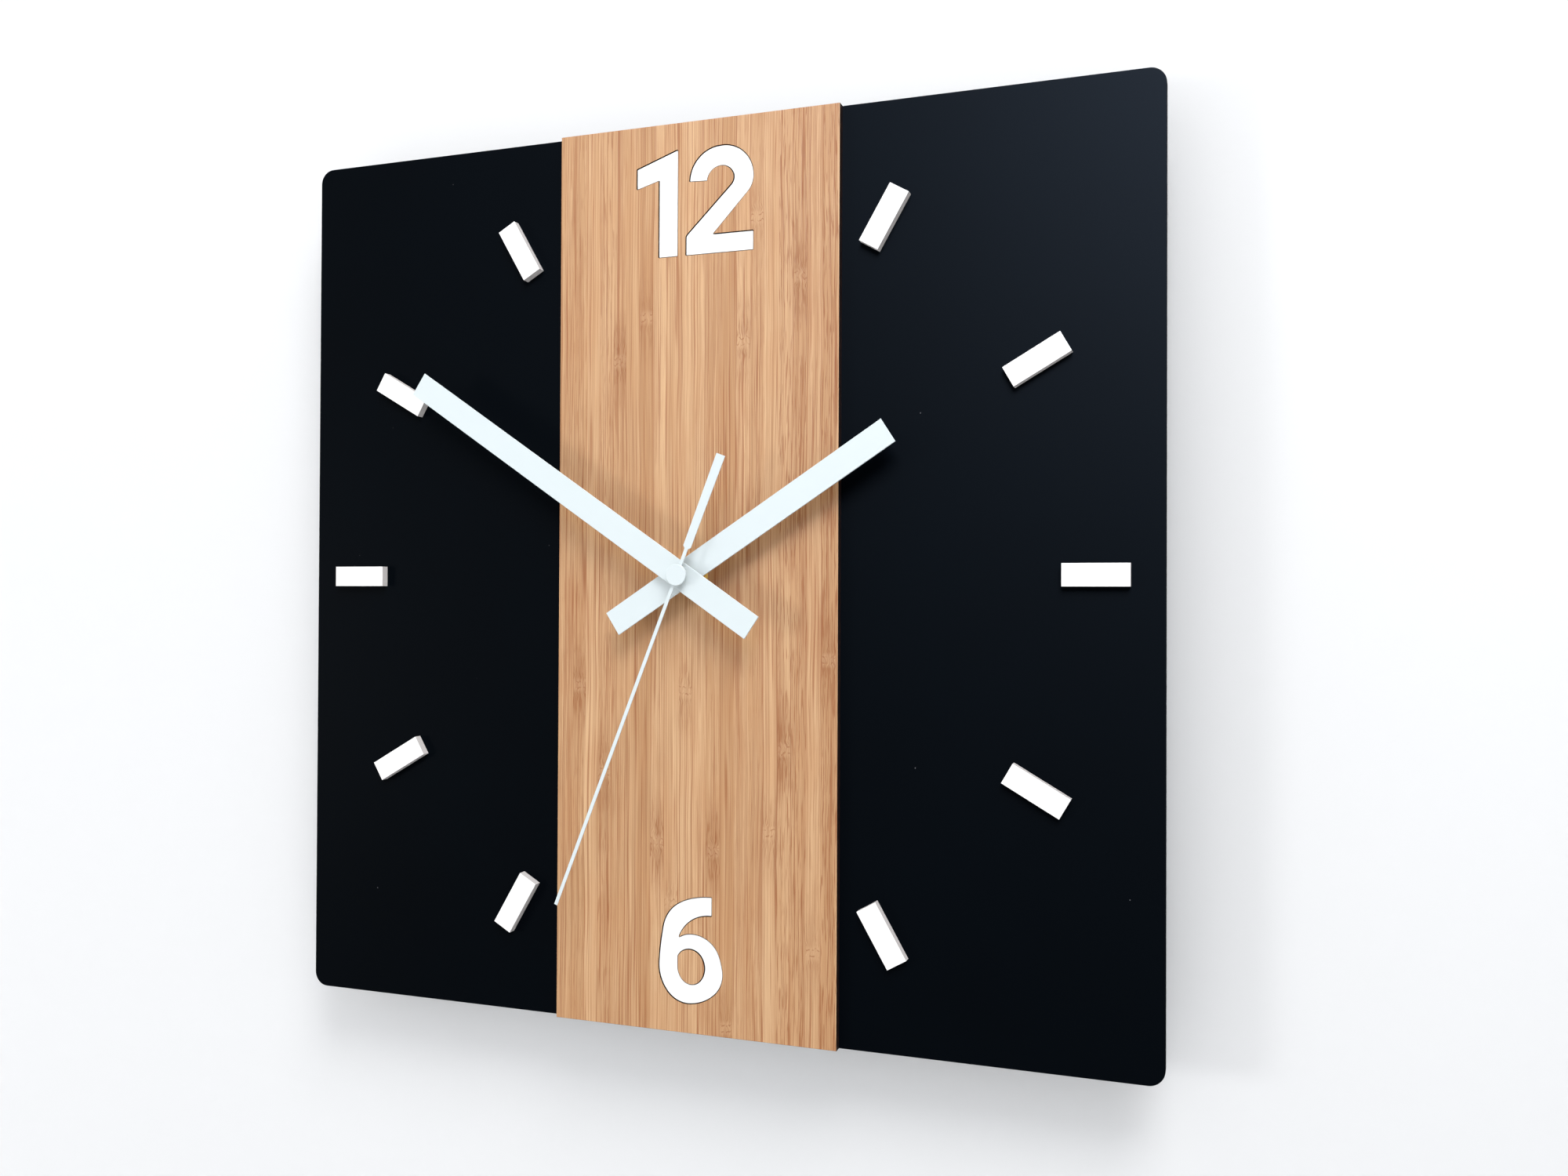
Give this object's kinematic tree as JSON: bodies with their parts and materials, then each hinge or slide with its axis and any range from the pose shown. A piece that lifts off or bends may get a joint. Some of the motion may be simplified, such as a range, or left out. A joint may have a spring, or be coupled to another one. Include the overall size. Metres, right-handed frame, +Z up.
{
  "type": "wall clock",
  "caption": "Square wall clock: black plate with a full-height bamboo strip, white bar markers and hands, and a battery quartz movement with a keyhole hanger.",
  "frame": {"origin": "centre of the round part of the hanger's keyhole, at the middle of the hanger plate's thickness; the dial's centre is 37 mm below it and the dial plate's front face is 20.5 mm in front of it", "axes": "+Y points back into the wall, along the nail; +Z up (twelve o'clock); +X to the right as seen from the front"},
  "size_m": [0.3, 0.0363, 0.3],
  "materials": {
    "panel_black": "satin black sheet",
    "bamboo": "laser-cut caramel bamboo, fine vertical grain, burnt cut edges",
    "numeral_white": "white sheet",
    "marker_white": "white sheet",
    "hand_white": "satin cool white paint",
    "brass": "turned brass",
    "rubber": "soft black rubber",
    "ferrite": "sintered magnet",
    "gear_plastic": "moulded natural white",
    "steel": "ground steel",
    "knob_plastic": "moulded black",
    "case_plastic": "fine textured black moulding",
    "frame_plastic": "moulded blue",
    "soft_iron": "stamped sheet",
    "copper": "enamelled copper wire",
    "board_green": "solder mask",
    "chip_black": "epoxy drop",
    "capacitor": "ceramic",
    "contact_metal": "nickel plated strip",
    "battery_jacket": null,
    "hanger_steel": "zinc plated stamping"
  },
  "bodies": {
    "case": {"face_panel": "panel_black", "bamboo_strip": "bamboo", "six_counter": "bamboo", "numeral_one": "numeral_white", "numeral_two": "numeral_white", "numeral_six": "numeral_white", "hour_marker_01": "marker_white", "hour_marker_02": "marker_white", "hour_marker_03": "marker_white", "hour_marker_04": "marker_white", "hour_marker_05": "marker_white", "hour_marker_07": "marker_white", "hour_marker_08": "marker_white", "hour_marker_09": "marker_white", "hour_marker_10": "marker_white", "hour_marker_11": "marker_white", "threaded_bush": "brass", "hex_nut": "brass", "brass_washer": "brass", "rubber_gasket": "rubber", "movement_cover": "case_plastic", "movement_case": "case_plastic", "main_plate": "frame_plastic", "train_bridge": "frame_plastic", "stator": "soft_iron", "coil_core": "soft_iron", "coil_bobbin": "frame_plastic", "coil_winding": "copper", "coil_leads": "copper", "circuit_board": "board_green", "clock_chip": "chip_black", "quartz_crystal": "steel", "tuning_capacitor": "capacitor", "battery_contact_positive": "contact_metal", "battery_contact_negative": "contact_metal", "hanger_plate": "hanger_steel", "wall_spacers": "rubber"},
    "minute_train": {"minute_wheel": "gear_plastic", "minute_pipe": "brass", "minute_collet": "brass", "minute_hand": "hand_white"},
    "hour_train": {"hour_wheel": "gear_plastic", "hour_collet": "brass", "hour_hand": "hand_white"},
    "second_train": {"second_arbor": "steel", "second_wheel": "gear_plastic", "second_hub": "brass", "second_hand": "hand_white", "second_cap": "hand_white"},
    "third_gear": {"third_wheel": "gear_plastic"},
    "intermediate_gear": {"intermediate_wheel": "gear_plastic"},
    "rotor": {"rotor_magnet": "ferrite", "rotor_pinion": "gear_plastic"},
    "reverse_gear": {"reverse_wheel": "gear_plastic"},
    "setting_shaft": {"setting_arbor": "gear_plastic", "setting_knob": "knob_plastic"},
    "battery": {"aa_battery": "battery_jacket"}
  },
  "joints": [
    {"name": "minute_turn", "type": "hinge", "parent": "case", "child": "minute_train", "pos_m": [0, -0.0205, -0.037], "axis": [0, 1, 0], "continuous": true},
    {"name": "hour_turn", "type": "hinge", "parent": "case", "child": "hour_train", "pos_m": [0, -0.0205, -0.037], "axis": [0, 1, 0], "continuous": true},
    {"name": "second_turn", "type": "hinge", "parent": "case", "child": "second_train", "pos_m": [0, -0.0205, -0.037], "axis": [0, 1, 0], "continuous": true},
    {"name": "third_turn", "type": "hinge", "parent": "case", "child": "third_gear", "pos_m": [0.01128, -0.0205, -0.0329], "axis": [0, 1, 0], "continuous": true},
    {"name": "intermediate_turn", "type": "hinge", "parent": "case", "child": "intermediate_gear", "pos_m": [-0.00909, -0.0205, -0.03175], "axis": [0, 1, 0], "continuous": true},
    {"name": "rotor_turn", "type": "hinge", "parent": "case", "child": "rotor", "pos_m": [-0.0104, -0.0205, -0.02436], "axis": [0, 1, 0], "continuous": true},
    {"name": "reverse_turn", "type": "hinge", "parent": "case", "child": "reverse_gear", "pos_m": [-0.009, -0.0205, -0.037], "axis": [0, 1, 0], "continuous": true},
    {"name": "knob_turn", "type": "hinge", "parent": "case", "child": "setting_shaft", "pos_m": [-0.01845, -0.0205, -0.037], "axis": [0, 1, 0], "continuous": true},
    {"name": "battery_slide", "type": "slide", "parent": "case", "child": "battery", "axis": [0, 1, 0], "range_m": [0, 0.03]}
  ],
  "couplings": [
    {"joint": "hour_turn", "follows": "minute_turn", "ratio": 0.083333},
    {"joint": "second_turn", "follows": "minute_turn", "ratio": 60},
    {"joint": "third_turn", "follows": "minute_turn", "ratio": -8},
    {"joint": "intermediate_turn", "follows": "minute_turn", "ratio": -360},
    {"joint": "rotor_turn", "follows": "minute_turn", "ratio": 1800},
    {"joint": "reverse_turn", "follows": "minute_turn", "ratio": -0.33333},
    {"joint": "knob_turn", "follows": "minute_turn", "ratio": 0.83333}
  ]
}
